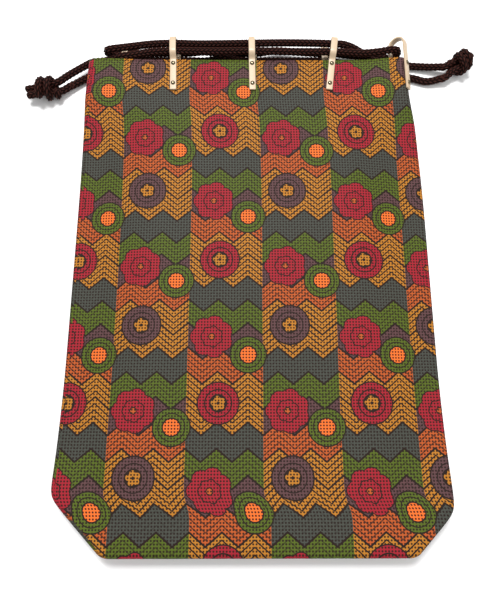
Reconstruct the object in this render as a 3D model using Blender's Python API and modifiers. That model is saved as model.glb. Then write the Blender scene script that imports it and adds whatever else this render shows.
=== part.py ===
"""Drawstring pouch with a boxed base, lying flat on its back panel.

Frame: metres, +X to the right, +Y towards the mouth, +Z up, floor at z = 0.
The body is one sewn shell. Eight riveted strip hoops stand on its mouth edge, and
two round cords run through them, each with its two ends tied in one knot.
"""

import math

import bmesh
import bpy
import numpy as np
from mathutils import Matrix, Vector

# The sewn body: stations from mouth to base, each with y, the outer half widths left
# and right, the mid heights of the front and back walls on the centre line, the
# heights of the left and right side folds, and the folds' mid radii left and right.
STATIONS = np.array((
    (0.1355, 0.1012, 0.0964, 0.0124, 0.0034, 0.0104, 0.0112, 0.0037, 0.0042),
    (0.1120, 0.1018, 0.0968, 0.0124, 0.0034, 0.0103, 0.0110, 0.0036, 0.0041),
    (0.0930, 0.1023, 0.1000, 0.0116, 0.0020, 0.0070, 0.0074, 0.0028, 0.0030),
    (0.0700, 0.1027, 0.1018, 0.0102, 0.0008, 0.0043, 0.0044, 0.0022, 0.0022),
    (0.0200, 0.1028, 0.1028, 0.0095, 0.0007, 0.0034, 0.0034, 0.0020, 0.0020),
    (-0.0500, 0.1028, 0.1028, 0.0095, 0.0007, 0.0036, 0.0036, 0.0020, 0.0020),
    (-0.0980, 0.1032, 0.1032, 0.0102, 0.0007, 0.0062, 0.0062, 0.0020, 0.0020),
    (-0.1220, 0.1036, 0.1036, 0.0116, 0.0032, 0.0090, 0.0090, 0.0020, 0.0020),
    (-0.1380, 0.1036, 0.1036, 0.0126, 0.0074, 0.0104, 0.0104, 0.0019, 0.0019),
    (-0.1477, 0.1036, 0.1036, 0.0129, 0.0091, 0.0110, 0.0110, 0.0019, 0.0019),
))
RING_Y = (
    0.1355, 0.1270, 0.1120, 0.1030, 0.0930, 0.0820, 0.0700, 0.0480, 0.0200, -0.0150,
    -0.0500, -0.0780, -0.0980, -0.1110, -0.1200, -0.1270, -0.1330, -0.1390, -0.1440,
    -0.1477,
)
WALL = 0.0014
NOSE_LENGTH = 0.0021
NOSE_RINGS = 3
LEFT_CHAMFER_Y = -0.1215
RIGHT_CHAMFER_Y = -0.1285
CHAMFER_SOFTNESS = 0.0016
CORNER_ROUNDING = 0.0030
FRONT_SPREAD = 0.045
BACK_PLATEAU = 0.026
BACK_SPREAD = 0.012
FACE_SEGMENTS = 20
FOLD_SEGMENTS = 5

# Hoops: strips bent over the mouth edge, a riveted leg on each side of the wall.
MOUTH_Y = 0.1355
STRIP_WIDTH = 0.0039
STRIP_THICKNESS = 0.0012
GAP = 0.00025
LEG_LENGTH = 0.0220
EYE_START = -0.0010
SIDE_EYE_START = 0.0004
EYE_SPREAD = 0.0040
LEG = WALL / 2 + GAP + STRIP_THICKNESS / 2
EYE_HALF = 0.0037
EYE_RISE = 0.0143
SIDE_EYE_HALF = 0.0053
SIDE_EYE_RISE = 0.0160
SIDE_INNER_LEG = -0.00445
SIDE_TILT = math.radians(46)

# Rivets through both legs and the wall.
RIVET_DEPTHS = {"upper": 0.0037, "lower": 0.0177}
HOLE_RADIUS = 0.0009
SHANK_RADIUS = 0.00065
HEAD_RADIUS = 0.0013
HEAD_HEIGHT = 0.0009
CAP_RADIUS = 0.0013
CAP_HEIGHT = 0.0006
HEAD_GAP = 0.00012
HOLE_SIDES = 10
RIVET_STEPS = 8

# Cords and knots.
CORD_RADIUS = 0.0024
CORD_POINTS = 40
BEND_WEIGHT = 0.022
LEFT_ROUTE = (
    (-0.1156, 0.1272, 0.0076), (-0.1112, 0.1311, 0.0069), (-0.1062, 0.1352, 0.0062),
    (-0.1005, 0.1385, 0.0063), (-0.0940, 0.1386, 0.0072), (-0.0875, 0.1384, 0.0091),
    (-0.0815, 0.1383, 0.0121), (-0.0740, 0.1386, 0.0131), (-0.0620, 0.1402, 0.0138),
    (-0.0480, 0.1410, 0.0139), (-0.0250, 0.1408, 0.0139), (0.0005, 0.1411, 0.0139),
    (0.0240, 0.1406, 0.0139), (0.0500, 0.1406, 0.0139), (0.0600, 0.1400, 0.0140),
    (0.0707, 0.1395, 0.0142), (0.0800, 0.1404, 0.0144), (0.0868, 0.1419, 0.0142),
    (0.0910, 0.1429, 0.0126), (0.0928, 0.1437, 0.0086), (0.0911, 0.1445, 0.0044),
    (0.0870, 0.1451, 0.0026), (0.0780, 0.1457, 0.0026), (0.0660, 0.1462, 0.0034),
    (0.0540, 0.1466, 0.0045), (0.0430, 0.1466, 0.0048), (0.0280, 0.1477, 0.0048),
    (0.0150, 0.1485, 0.0048), (0.0042, 0.1466, 0.0048), (-0.0060, 0.1465, 0.0046),
    (-0.0145, 0.1458, 0.0034), (-0.0225, 0.1438, 0.0028), (-0.0305, 0.1418, 0.0034),
    (-0.0400, 0.1410, 0.0047), (-0.0760, 0.1410, 0.0047), (-0.0845, 0.1401, 0.0040),
    (-0.0900, 0.1382, 0.0028), (-0.0960, 0.1345, 0.0025), (-0.1055, 0.1292, 0.0025),
    (-0.1146, 0.1228, 0.0036),
)
RIGHT_ROUTE = (
    (0.1229, 0.1362, 0.0057), (0.1150, 0.1374, 0.0039), (0.1084, 0.1384, 0.0029),
    (0.1000, 0.1392, 0.0025), (0.0910, 0.1389, 0.0026), (0.0845, 0.1390, 0.0036),
    (0.0785, 0.1400, 0.0058), (0.0725, 0.1420, 0.0085), (0.0665, 0.1442, 0.0111),
    (0.0605, 0.1458, 0.0129), (0.0530, 0.1464, 0.0138), (0.0250, 0.1469, 0.0140),
    (0.0000, 0.1466, 0.0139), (-0.0300, 0.1460, 0.0139), (-0.0490, 0.1464, 0.0139),
    (-0.0620, 0.1456, 0.0141), (-0.0740, 0.1438, 0.0143), (-0.0820, 0.1425, 0.0145),
    (-0.0860, 0.1420, 0.0144), (-0.0894, 0.1424, 0.0129), (-0.0907, 0.1433, 0.0095),
    (-0.0893, 0.1445, 0.0062), (-0.0860, 0.1456, 0.0049), (-0.0800, 0.1462, 0.0048),
    (-0.0650, 0.1465, 0.0048), (-0.0420, 0.1466, 0.0048), (-0.0305, 0.1458, 0.0070),
    (-0.0225, 0.1438, 0.0083), (-0.0145, 0.1418, 0.0070), (-0.0030, 0.1410, 0.0048),
    (0.0470, 0.1410, 0.0048), (0.0530, 0.1406, 0.0045), (0.0585, 0.1394, 0.0036),
    (0.0640, 0.1370, 0.0027), (0.0700, 0.1343, 0.0025), (0.0770, 0.1322, 0.0025),
    (0.0870, 0.1306, 0.0025), (0.1010, 0.1304, 0.0025), (0.1120, 0.1277, 0.0027),
    (0.1228, 0.1291, 0.0046),
)
KNOT_LEFT = {
    "centre": (-0.1284, 0.1187, 0.0071), "half": (0.0130, 0.0074, 0.0069), "turn": 10,
}
KNOT_RIGHT = {
    "centre": (0.1334, 0.1367, 0.0071), "half": (0.0118, 0.0072, 0.0069), "turn": 38,
}

# Finishes: colour, roughness, metallic.
PRINTED_CLOTH = ("printed_cloth", (0.20, 0.14, 0.07, 1.0), 0.55, 0.0)
CREAM_STRIP = ("cream_strip", (0.82, 0.74, 0.58, 1.0), 0.50, 0.0)
RIVET_METAL = ("rivet_metal", (0.42, 0.38, 0.30, 1.0), 0.25, 1.0)
BRAIDED_CORD = ("braided_cord", (0.020, 0.009, 0.007, 1.0), 0.80, 0.0)


def clear_scene():
    """Remove everything that the file starts with."""
    for obj in list(bpy.data.objects):
        bpy.data.objects.remove(obj)


def make_collection(name):
    """Return a new collection linked to the scene."""
    collection = bpy.data.collections.new(name)
    bpy.context.scene.collection.children.link(collection)
    return collection


def material(finish):
    """Return the Principled material of a finish, made on its first use."""
    name, colour, roughness, metallic = finish
    made = bpy.data.materials.get(name)
    if made is None:
        made = bpy.data.materials.new(name)
        made.use_nodes = True
        shader = made.node_tree.nodes["Principled BSDF"]
        shader.inputs["Base Color"].default_value = colour
        shader.inputs["Roughness"].default_value = roughness
        shader.inputs["Metallic"].default_value = metallic
    return made


def add_object(name, data, finish, collection):
    """Link data as a named object with its finish."""
    obj = bpy.data.objects.new(name, data)
    data.materials.append(material(finish))
    collection.objects.link(obj)
    return obj


def mesh_from(name, mesh):
    """Turn a bmesh into smooth-shaded mesh data with sharp edges kept."""
    data = bpy.data.meshes.new(name)
    mesh.to_mesh(data)
    mesh.free()
    data.shade_smooth()
    data.set_sharp_from_angle(angle=math.radians(40))
    return data


def ease(amount):
    """Smooth step from 0 to 1, flat at both ends."""
    amount = min(max(amount, 0.0), 1.0)
    return amount * amount * (3 - 2 * amount)


def station(y):
    """Read the body's sizes at y, on a smooth curve through the stations."""
    knots = STATIONS[::-1, 0]
    values = STATIONS[::-1, 1:]
    rises = np.diff(values, axis=0) / np.diff(knots)[:, None]
    steepest = 3 * np.minimum(abs(rises[1:]), abs(rises[:-1])) * (rises[1:] * rises[:-1] > 0)
    slopes = np.gradient(values, knots, axis=0)
    slopes[1:-1] = np.clip(slopes[1:-1], -steepest, steepest)
    i = int(np.clip(np.searchsorted(knots, y) - 1, 0, len(knots) - 2))
    step = knots[i + 1] - knots[i]
    t = (min(max(y, knots[0]), knots[-1]) - knots[i]) / step
    return (
        values[i] * (2 * t**3 - 3 * t**2 + 1)
        + slopes[i] * step * (t**3 - 2 * t**2 + t)
        + values[i + 1] * (3 * t**2 - 2 * t**3)
        + slopes[i + 1] * step * (t**3 - t**2)
    )


def chamfered(half_width, y, start_y):
    """Narrow a half width below start_y at 45 degrees, with a soft corner."""
    drop = CHAMFER_SOFTNESS * math.log1p(math.exp((start_y - y) / CHAMFER_SOFTNESS))
    return half_width - drop


def section(y, squash=1.0, narrowing=0.0):
    """One closed ring of the body's mid surface, as (x, z) points.

    It runs left to right over the front, round the right fold, back along the
    underside and round the left fold. squash flattens it towards its middle height.
    """
    left, right, front, back, left_z, right_z, left_r, right_r = station(y)
    left = chamfered(left, y, LEFT_CHAMFER_Y) - WALL / 2 - narrowing
    right = chamfered(right, y, RIGHT_CHAMFER_Y) - WALL / 2 - narrowing
    x_left, x_right = left_r - left, right - right_r
    folds = (left_z, left_r), (right_z, right_r)

    def height(x, upper):
        sign = 1 if upper else -1
        middle = front if upper else back
        total = middle
        for distance, (fold_z, fold_r) in zip((x - x_left, x_right - x), folds):
            if upper:
                reach = ease(distance / FRONT_SPREAD)
            else:
                reach = ease((distance - BACK_PLATEAU) / BACK_SPREAD)
            total += (fold_z + sign * fold_r - middle) * (1 - reach)
        return total

    ring = []
    for i in range(FACE_SEGMENTS + 1):
        x = x_left + (x_right - x_left) * i / FACE_SEGMENTS
        ring.append((x, height(x, True)))
    for i in range(1, FOLD_SEGMENTS):
        angle = math.pi * i / FOLD_SEGMENTS
        ring.append((x_right + right_r * math.sin(angle), right_z + right_r * math.cos(angle)))
    for i in range(FACE_SEGMENTS + 1):
        x = x_right - (x_right - x_left) * i / FACE_SEGMENTS
        ring.append((x, height(x, False)))
    for i in range(1, FOLD_SEGMENTS):
        angle = math.pi * i / FOLD_SEGMENTS
        ring.append((x_left - left_r * math.sin(angle), left_z - left_r * math.cos(angle)))
    middle = (front + back) / 2
    return [(x, middle + (z - middle) * squash) for x, z in ring]


def add_body(collection):
    """The sewn pouch: a sock-shaped mid surface, thickened to the wall."""
    mesh = bmesh.new()
    rings = [[mesh.verts.new((x, y, z)) for x, z in section(y)] for y in RING_Y]
    for i in range(1, NOSE_RINGS + 1):
        angle = math.pi / 2 * i / NOSE_RINGS
        y = RING_Y[-1] - NOSE_LENGTH * math.sin(angle)
        narrowing = CORNER_ROUNDING * (1 - math.cos(angle))
        points = section(y, math.cos(angle), narrowing)
        rings.append([mesh.verts.new((x, y, z)) for x, z in points])
    for upper, lower in zip(rings, rings[1:]):
        for i in range(len(upper)):
            j = (i + 1) % len(upper)
            mesh.faces.new((upper[i], lower[i], lower[j], upper[j]))
    bmesh.ops.remove_doubles(mesh, verts=rings[-1], dist=1e-6)
    bmesh.ops.dissolve_degenerate(mesh, edges=mesh.edges, dist=1e-7)
    bmesh.ops.recalc_face_normals(mesh, faces=mesh.faces)
    body = add_object("pouch_body", mesh_from("pouch_body", mesh), PRINTED_CLOTH, collection)
    wall = body.modifiers.new("wall", "SOLIDIFY")
    wall.thickness = WALL
    wall.offset = 0.0
    return body


def hoop_path(outer, inner, half, rise, shift, start):
    """Centre line of a bent strip as (outward, up) points from the mouth edge.

    outer and inner are the legs' distances from the wall's middle, half is the
    eye's half width, rise its height, shift the eye's distance outward, and start
    the height where the legs begin to part.
    """
    path = [(outer, -LEG_LENGTH), (outer, -LEG_LENGTH / 2), (outer, start)]
    for i in range(1, 5):
        reach = ease(i / 4)
        outward = outer + (shift + half - outer) * reach
        path.append((outward, start + EYE_SPREAD * i / 4))
    crown = rise - half
    for i in range(13):
        angle = math.pi * i / 12
        path.append((shift + half * math.cos(angle), crown + half * math.sin(angle)))
    for i in range(3, -1, -1):
        reach = ease(i / 4)
        outward = inner + (shift - half - inner) * reach
        path.append((outward, start + EYE_SPREAD * i / 4))
    path += [(inner, -LEG_LENGTH / 2), (inner, -LEG_LENGTH)]
    return path


def hoop_mesh(name, path):
    """A ribbon of the strip's width along the path, still without thickness."""
    mesh = bmesh.new()
    rows = []
    for outward, up in path:
        pair = [(-STRIP_WIDTH / 2, up, outward), (STRIP_WIDTH / 2, up, outward)]
        rows.append([mesh.verts.new(point) for point in pair])
    for first, second in zip(rows, rows[1:]):
        mesh.faces.new((first[0], second[0], second[1], first[1]))
    return mesh_from(name, mesh)


def hoop_cutter(name, outer, inner, frame, collection):
    """Two short pins, one at each rivet, that cut the hoop and the wall."""
    mesh = bmesh.new()
    reach = (outer - inner) + 4 * STRIP_THICKNESS
    for depth in RIVET_DEPTHS.values():
        place = Matrix.Translation((0, -depth, (outer + inner) / 2))
        bmesh.ops.create_cone(
            mesh, cap_ends=True, segments=HOLE_SIDES, radius1=HOLE_RADIUS,
            radius2=HOLE_RADIUS, depth=reach, matrix=place,
        )
    data = bpy.data.meshes.new(name)
    mesh.to_mesh(data)
    mesh.free()
    cutter = bpy.data.objects.new(name, data)
    cutter.matrix_world = frame
    cutter.hide_render = True
    cutter.display_type = "WIRE"
    collection.objects.link(cutter)
    return cutter


def cut(obj, cutter):
    """Subtract cutter from obj with the exact solver."""
    hole = obj.modifiers.new(cutter.name, "BOOLEAN")
    hole.operation = "DIFFERENCE"
    hole.solver = "EXACT"
    hole.object = cutter


def add_rivet(name, outer, inner, depth, frame, collection):
    """A domed rivet turned about its shank, head outside and flat cap inside."""
    seat = outer + STRIP_THICKNESS / 2 + HEAD_GAP
    cap_seat = inner - STRIP_THICKNESS / 2 - HEAD_GAP
    profile = [(0.0, seat + HEAD_HEIGHT)]
    for i in range(1, 4):
        angle = math.pi / 2 * i / 3
        height = seat + HEAD_HEIGHT * math.cos(angle)
        profile.append((HEAD_RADIUS * math.sin(angle), height))
    profile += [
        (SHANK_RADIUS, seat),
        (SHANK_RADIUS, cap_seat),
        (CAP_RADIUS, cap_seat),
        (CAP_RADIUS * 0.7, cap_seat - CAP_HEIGHT),
        (0.0, cap_seat - CAP_HEIGHT),
    ]
    mesh = bmesh.new()
    points = [mesh.verts.new((x, 0, z)) for x, z in profile]
    for first, second in zip(points, points[1:]):
        mesh.edges.new((first, second))
    data = bpy.data.meshes.new(name)
    mesh.to_mesh(data)
    mesh.free()
    rivet = add_object(name, data, RIVET_METAL, collection)
    rivet.matrix_world = frame @ Matrix.Translation((0, -depth, 0))
    turn = rivet.modifiers.new("turn", "SCREW")
    turn.steps = turn.render_steps = RIVET_STEPS
    turn.use_merge_vertices = True
    turn.merge_threshold = 1e-6
    turn.use_smooth_shade = True
    return rivet


def hoop_frame(x, z, tilt_deg, lean_deg):
    """Local axes of a hoop: X across the strip, Y to the mouth, Z out of the wall."""
    turn = Matrix.Rotation(math.radians(tilt_deg), 4, "Y")
    lean = Matrix.Rotation(math.radians(lean_deg), 4, "Z")
    return Matrix.Translation((x, MOUTH_Y, z)) @ turn @ lean


def hoop_table():
    """Every hoop's name, frame and eye, read from the body's mouth section."""
    _, right, front, back, left_z, right_z, left_r, right_r = station(MOUTH_Y)
    slim = {
        "outer": LEG, "inner": -LEG, "half": EYE_HALF, "rise": EYE_RISE,
        "start": EYE_START,
    }
    wide = {
        "outer": LEG, "inner": SIDE_INNER_LEG, "half": SIDE_EYE_HALF,
        "rise": SIDE_EYE_RISE, "start": SIDE_EYE_START, "shift": LEG - SIDE_EYE_HALF,
    }
    fold_x = right - WALL / 2 - right_r
    side_x = fold_x + right_r * math.sin(SIDE_TILT)
    side_z = right_z + right_r * math.cos(SIDE_TILT)
    side_frame = hoop_frame(side_x, side_z, math.degrees(SIDE_TILT), 0)
    left_under = left_z - left_r
    return (
        ("front_left", hoop_frame(-0.0483, front, 0, 1.5), {**slim, "shift": 0.00145}),
        ("front_middle", hoop_frame(0.0004, front, 0, 1), {**slim, "shift": 0.00145}),
        ("front_right", hoop_frame(0.0502, front, 0, -7), {**slim, "shift": 0.00145}),
        ("back_right", hoop_frame(0.0465, back, 180, 0), {**slim, "shift": -0.00135}),
        ("back_middle", hoop_frame(0.0015, back, 180, 0), {**slim, "shift": -0.00135}),
        ("back_left", hoop_frame(-0.0465, back, 180, 0), {**slim, "shift": -0.00135}),
        ("side_left", hoop_frame(-0.0800, left_under, 180, 0), {**slim, "shift": 0.0019}),
        ("side_right", side_frame, wide),
    )


def add_hoops(body, collection, cutters):
    """The eight hoops with their rivets, and the holes that they need in the wall."""
    for name, frame, eye in hoop_table():
        outer, inner = eye["outer"], eye["inner"]
        ribbon = hoop_mesh(f"hoop_{name}", hoop_path(**eye))
        hoop = add_object(f"hoop_{name}", ribbon, CREAM_STRIP, collection)
        hoop.matrix_world = frame
        thick = hoop.modifiers.new("thickness", "SOLIDIFY")
        thick.thickness = STRIP_THICKNESS
        thick.offset = 0.0
        thick.use_even_offset = True
        pins = hoop_cutter(f"pins_{name}", outer, inner, frame, cutters)
        cut(hoop, pins)
        cut(body, pins)
        for level, depth in RIVET_DEPTHS.items():
            add_rivet(f"rivet_{name}_{level}", outer, inner, depth, frame, collection)


def spline_points(route, count):
    """Points along a smooth curve through the route, closer together in its bends."""
    knots = [Vector(point) for point in route]
    knots = [2 * knots[0] - knots[1]] + knots + [2 * knots[-1] - knots[-2]]
    dense = []
    for a, b, c, d in zip(knots, knots[1:], knots[2:], knots[3:]):
        for i in range(16):
            t = i / 16
            bend = 2 * a - 5 * b + 4 * c - d
            twist = 3 * b - a - 3 * c + d
            dense.append(0.5 * (2 * b + (c - a) * t + bend * t**2 + twist * t**3))
    dense.append(knots[-2])
    steps = [q - p for p, q in zip(dense, dense[1:])]
    turns = [0.0] + [p.angle(q) for p, q in zip(steps, steps[1:])]
    effort = [step.length + BEND_WEIGHT * turn for step, turn in zip(steps, turns)]
    run = np.cumsum([0.0] + effort)
    wanted = np.linspace(0.0, run[-1], count)
    axes = [np.interp(wanted, run, [point[axis] for point in dense]) for axis in range(3)]
    return list(zip(*axes))


def add_cord(name, route, collection):
    """A cord as a closed round tube along its route, from its knot and back to it."""
    curve = bpy.data.curves.new(name, "CURVE")
    curve.dimensions = "3D"
    curve.bevel_depth = CORD_RADIUS
    curve.bevel_resolution = 2
    curve.use_fill_caps = True
    line = curve.splines.new("POLY")
    line.points.add(CORD_POINTS - 1)
    for point, place in zip(line.points, spline_points(route, CORD_POINTS)):
        point.co = (*place, 1.0)
    return add_object(name, curve, BRAIDED_CORD, collection)


def add_knot(name, centre, half, turn, collection):
    """A knot as one plain rounded solid of its outer size."""
    mesh = bmesh.new()
    place = (
        Matrix.Translation(centre)
        @ Matrix.Rotation(math.radians(turn), 4, "Z")
        @ Matrix.Diagonal((*half, 1.0))
    )
    bmesh.ops.create_uvsphere(mesh, u_segments=14, v_segments=8, radius=1.0, matrix=place)
    return add_object(name, mesh_from(name, mesh), BRAIDED_CORD, collection)


def main():
    """Build the pouch from its body outwards."""
    clear_scene()
    pouch = make_collection("drawstring_pouch")
    cutters = make_collection("cutters")
    body = add_body(pouch)
    add_hoops(body, pouch, cutters)
    add_cord("drawcord_left", LEFT_ROUTE, pouch)
    add_cord("drawcord_right", RIGHT_ROUTE, pouch)
    add_knot("knot_left", **KNOT_LEFT, collection=pouch)
    add_knot("knot_right", **KNOT_RIGHT, collection=pouch)


if __name__ == "__main__":
    main()
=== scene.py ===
"""Printed drawstring pouch lying flat on its back, with cream strip hoops and braided cords.

Frame: metres, +X to the right, +Y towards the mouth, +Z up, floor at z = 0.
"""

import logging
import math
from dataclasses import dataclass, field
from enum import Enum
from typing import Sequence

import bmesh
import bpy
import numpy as np
from mathutils import Matrix, Vector


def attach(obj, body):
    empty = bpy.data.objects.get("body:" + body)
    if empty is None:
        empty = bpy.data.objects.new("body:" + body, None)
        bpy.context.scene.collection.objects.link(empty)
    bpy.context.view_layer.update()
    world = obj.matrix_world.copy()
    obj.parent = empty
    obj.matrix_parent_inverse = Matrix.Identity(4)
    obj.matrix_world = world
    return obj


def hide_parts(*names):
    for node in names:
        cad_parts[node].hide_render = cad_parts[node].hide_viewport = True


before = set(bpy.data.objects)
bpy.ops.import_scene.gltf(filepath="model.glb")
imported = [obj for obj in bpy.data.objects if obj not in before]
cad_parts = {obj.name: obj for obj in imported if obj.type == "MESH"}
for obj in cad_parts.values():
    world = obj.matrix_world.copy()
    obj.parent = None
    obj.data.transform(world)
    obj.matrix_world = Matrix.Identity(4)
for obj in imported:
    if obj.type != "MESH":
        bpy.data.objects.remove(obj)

LOG = logging.getLogger("pouch")
Point = tuple[float, float, float]
Colour = tuple[float, float, float]
Socket = bpy.types.NodeSocket

BLACK = (0.0, 0.0, 0.0)
WHITE = (1.0, 1.0, 1.0)
ROUTE_STEPS = 24


# ---------------------------------------------------------------- node wiring


class Graph:
    """Short calls that wire one material's nodes together."""

    def __init__(self, name: str) -> None:
        """Start a material with its Principled shader.

        Args:
            name: The material's name.
        """
        self.material = bpy.data.materials.new(name)
        self.material.use_nodes = True
        self.tree = self.material.node_tree
        self.shader = self.tree.nodes["Principled BSDF"]

    def node(self, kind: str, **settings: object) -> bpy.types.Node:
        """Add a node.

        Args:
            kind: The node's type name.
            **settings: Properties to set on it.

        Returns:
            The new node.
        """
        made = self.tree.nodes.new(kind)
        for key, value in settings.items():
            setattr(made, key, value)
        return made

    def plug(self, socket: Socket, value: object) -> None:
        """Link a socket, or set its value.

        Args:
            socket: The input that takes the value.
            value: Another node's output, a number or a colour.
        """
        if isinstance(value, bpy.types.NodeSocket):
            self.tree.links.new(value, socket)
        elif isinstance(value, tuple) and len(value) == 3 and len(socket.default_value) == 4:
            socket.default_value = (*value, 1.0)
        else:
            socket.default_value = value

    def math(self, operation: str, *values: object) -> Socket:
        """Add one maths node.

        Args:
            operation: Name of the operation.
            *values: Its inputs, numbers or outputs.

        Returns:
            The node's result.
        """
        made = self.node("ShaderNodeMath", operation=operation)
        for socket, value in zip(made.inputs, values):
            self.plug(socket, value)
        return made.outputs[0]

    def mix(self, amount: object, first: object, second: object, blend: str = "MIX") -> Socket:
        """Mix two colours.

        Args:
            amount: Share of the second colour.
            first: The colour at 0.
            second: The colour at 1.
            blend: Name of the blend.

        Returns:
            The mixed colour.
        """
        made = self.node("ShaderNodeMix", data_type="RGBA", blend_type=blend)
        self.plug(made.inputs[0], amount)
        self.plug(made.inputs[6], first)
        self.plug(made.inputs[7], second)
        return made.outputs[2]

    def noise(self, scale: float, detail: float = 3.0, vector: Socket | None = None) -> Socket:
        """Add soft noise in object space.

        Args:
            scale: Cells per metre.
            detail: Number of octaves.
            vector: Coordinates, or None for the object's own.

        Returns:
            A value from 0 to 1.
        """
        made = self.node("ShaderNodeTexNoise")
        made.inputs["Scale"].default_value = scale
        made.inputs["Detail"].default_value = detail
        place = vector or self.node("ShaderNodeTexCoord").outputs["Object"]
        self.plug(made.inputs["Vector"], place)
        return made.outputs["Fac"]

    def ramp(self, value: Socket, stops: Sequence[tuple[float, Colour]], stepped: bool) -> Socket:
        """Turn a value into a colour.

        Args:
            value: The value to read.
            stops: Positions and colours.
            stepped: True for hard steps, False for a blend.

        Returns:
            The colour.
        """
        made = self.node("ShaderNodeValToRGB")
        band = made.color_ramp
        band.interpolation = "CONSTANT" if stepped else "EASE"
        while len(band.elements) < len(stops):
            band.elements.new(0.5)
        for element, (place, colour) in zip(band.elements, stops):
            element.position = place
            element.color = (*colour, 1.0)
        self.plug(made.inputs[0], value)
        return made.outputs[0]

    def soft_step(self, value: object, low: float, high: float) -> Socket:
        """Rise smoothly from 0 at low to 1 at high.

        Args:
            value: The value to read.
            low: Where the rise starts.
            high: Where it ends.

        Returns:
            The stepped value.
        """
        made = self.node("ShaderNodeMapRange", interpolation_type="SMOOTHSTEP")
        for socket, number in zip(made.inputs, (value, low, high, 0.0, 1.0)):
            self.plug(socket, number)
        return made.outputs[0]

    def reach(self, across: Socket, along: Socket) -> Socket:
        """Distance from the origin of a place on a flat surface."""
        squares = [self.math("MULTIPLY", value, value) for value in (across, along)]
        return self.math("SQRT", self.math("ADD", *squares))

    def bump(self, height: Socket, strength: float, distance: float,
             under: Socket | None = None) -> Socket:
        """Add relief.

        Args:
            height: The relief's height, 0 to 1.
            strength: How strongly it shows.
            distance: Real height of the relief in metres.
            under: Another relief that this one lies on.

        Returns:
            The bent normal.
        """
        made = self.node("ShaderNodeBump")
        made.inputs["Strength"].default_value = strength
        made.inputs["Distance"].default_value = distance
        self.plug(made.inputs["Height"], height)
        if under is not None:
            self.plug(made.inputs["Normal"], under)
        return made.outputs[0]


# ------------------------------------------------------------------- finishes


@dataclass(frozen=True)
class Shade:
    """Shader numbers that are the same all over a finish."""

    roughness: float = 0.6
    metallic: float = 0.0
    sheen: float = 0.0
    sheen_roughness: float = 0.5
    coat: float = 0.0
    coat_roughness: float = 0.3
    specular: float = 0.5

    def apply(self, graph: Graph) -> None:
        """Set the numbers on the shader.

        Args:
            graph: The material to set.
        """
        inputs = graph.shader.inputs
        inputs["Roughness"].default_value = self.roughness
        inputs["Metallic"].default_value = self.metallic
        inputs["Sheen Weight"].default_value = self.sheen
        inputs["Sheen Roughness"].default_value = self.sheen_roughness
        inputs["Coat Weight"].default_value = self.coat
        inputs["Coat Roughness"].default_value = self.coat_roughness
        inputs["Specular IOR Level"].default_value = self.specular

    def vary(self, graph: Graph, value: Socket, spread: float) -> Socket:
        """Spread the roughness evenly about its own value by a value from 0 to 1."""
        return graph.math("MULTIPLY_ADD", value, spread, self.roughness - spread / 2)


class Dye(Enum):
    """The print's dyes as linear colours."""

    GOLD = (0.400, 0.155, 0.018)
    RED_ORANGE = (0.400, 0.080, 0.018)
    GREEN = (0.074, 0.105, 0.012)
    SLATE = (0.052, 0.056, 0.046)
    PLUM = (0.092, 0.044, 0.046)
    CRIMSON = (0.290, 0.014, 0.024)
    ORANGE = (0.700, 0.135, 0.022)
    LINE = (0.018, 0.010, 0.008)


@dataclass(frozen=True)
class Motif:
    """A round figure of the print, drawn by distance from its centre.

    Sizes are in millimetres of cloth, and rings run outwards from 0 at the centre
    to 1 at the rim.
    """

    places: tuple[tuple[float, float], ...]
    radius: float
    rings: tuple[tuple[float, Dye], ...]
    petals: int = 0
    petal_depth: float = 0.0
    turn: float = 0.0


ROUNDEL = (
    (0.00, Dye.ORANGE), (0.42, Dye.LINE), (0.49, Dye.GREEN), (0.67, Dye.LINE),
    (0.72, Dye.GREEN), (0.93, Dye.LINE),
)
PLUM_ROUNDEL = (
    (0.00, Dye.LINE), (0.42, Dye.PLUM), (0.62, Dye.LINE), (0.67, Dye.PLUM), (0.93, Dye.LINE),
)
CRIMSON_ROUNDEL = (
    (0.00, Dye.LINE), (0.42, Dye.CRIMSON), (0.60, Dye.LINE), (0.66, Dye.CRIMSON),
    (0.94, Dye.LINE),
)
ROSETTE = (
    (0.00, Dye.RED_ORANGE), (0.12, Dye.LINE), (0.17, Dye.CRIMSON), (0.46, Dye.LINE),
    (0.51, Dye.CRIMSON), (0.95, Dye.LINE),
)
BLOSSOM = ((0.00, Dye.LINE), (0.22, Dye.GOLD), (0.90, Dye.LINE))


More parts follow.
